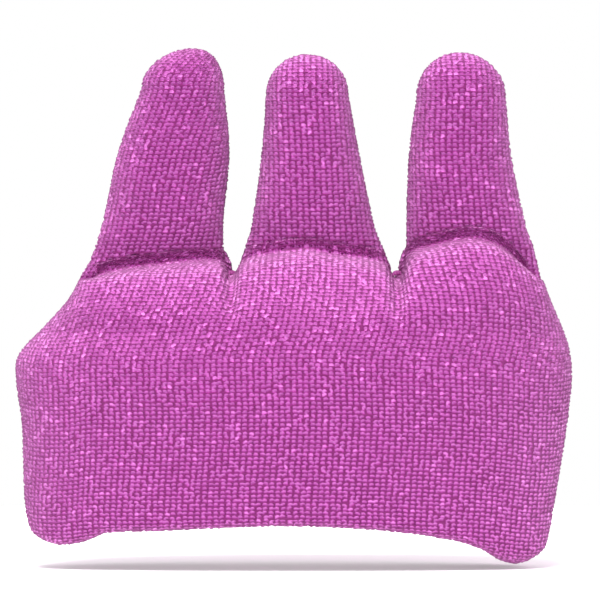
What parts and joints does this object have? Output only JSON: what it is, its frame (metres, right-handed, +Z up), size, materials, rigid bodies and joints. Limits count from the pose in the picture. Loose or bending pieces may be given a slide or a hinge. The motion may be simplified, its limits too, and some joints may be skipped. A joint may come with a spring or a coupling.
{
  "type": "moving mouth hand puppet",
  "caption": "Soft terry hand puppet with stuffed horns that flop, a wide lined mouth that opens and shuts on a hinge seam, dome eyes and an open hem for the hand.",
  "frame": {"origin": "middle of the hand opening, on the line of the side seams, at the level of the lowest point of the hem", "axes": "+Z up along the sleeve to the horns, +Y towards the face and out of the mouth, +X along the mouth, to the right as seen from behind"},
  "size_m": [0.1832, 0.1019, 0.1709],
  "materials": {
    "terry": "matte",
    "hem": "matte",
    "wadding": "matte",
    "lining_cotton": "matte",
    "board": "matte",
    "mouth_felt": "matte",
    "tongue_felt": "matte",
    "eye_felt": "matte",
    "washer": "satin",
    "eye_black": "gloss",
    "label": "satin"
  },
  "bodies": {
    "head": {"back_panel": "terry", "face_panel": "terry", "throat_panel": "terry", "hem_band": "hem", "back_wadding": "wadding", "face_wadding": "wadding", "sleeve_lining": "lining_cotton", "finger_pocket": "lining_cotton", "upper_mouth_board": "board", "upper_mouth_lining": "mouth_felt", "mouth_hinge_tape": "mouth_felt", "left_eye_felt": "eye_felt", "right_eye_felt": "eye_felt", "left_eye": "eye_black", "right_eye": "eye_black", "left_eye_washer": "washer", "right_eye_washer": "washer", "care_label": "label", "notch_seams": "terry"},
    "jaw": {"chin_panel": "terry", "chin_wadding": "wadding", "lower_mouth_board": "board", "lower_mouth_lining": "mouth_felt", "thumb_pocket": "lining_cotton", "tongue": "tongue_felt"},
    "left_horn": {"left_horn_back_cloth": "terry", "left_horn_front_cloth": "terry", "left_horn_filling": "wadding"},
    "middle_horn": {"middle_horn_back_cloth": "terry", "middle_horn_front_cloth": "terry", "middle_horn_filling": "wadding"},
    "right_horn": {"right_horn_back_cloth": "terry", "right_horn_front_cloth": "terry", "right_horn_filling": "wadding"}
  },
  "joints": [
    {"name": "mouth_hinge", "type": "hinge", "parent": "head", "child": "jaw", "pos_m": [0, 0, 0.066], "axis": [-1, 0, 0], "range_deg": [-1.5, 32], "stiffness_Nm_per_rad": 0.05, "springref_deg": -17.19, "deforming": ["throat_panel"]},
    {"name": "left_horn_flop", "type": "hinge", "parent": "head", "child": "left_horn", "pos_m": [-0.045, 0, 0.102], "axis": [1, 0, 0], "range_deg": [-30, 30], "stiffness_Nm_per_rad": 0.025},
    {"name": "middle_horn_flop", "type": "hinge", "parent": "head", "child": "middle_horn", "pos_m": [0.007, 0, 0.102], "axis": [1, 0, 0], "range_deg": [-30, 30], "stiffness_Nm_per_rad": 0.025},
    {"name": "right_horn_flop", "type": "hinge", "parent": "head", "child": "right_horn", "pos_m": [0.058, 0, 0.102], "axis": [1, 0, 0], "range_deg": [-30, 30], "stiffness_Nm_per_rad": 0.025}
  ]
}
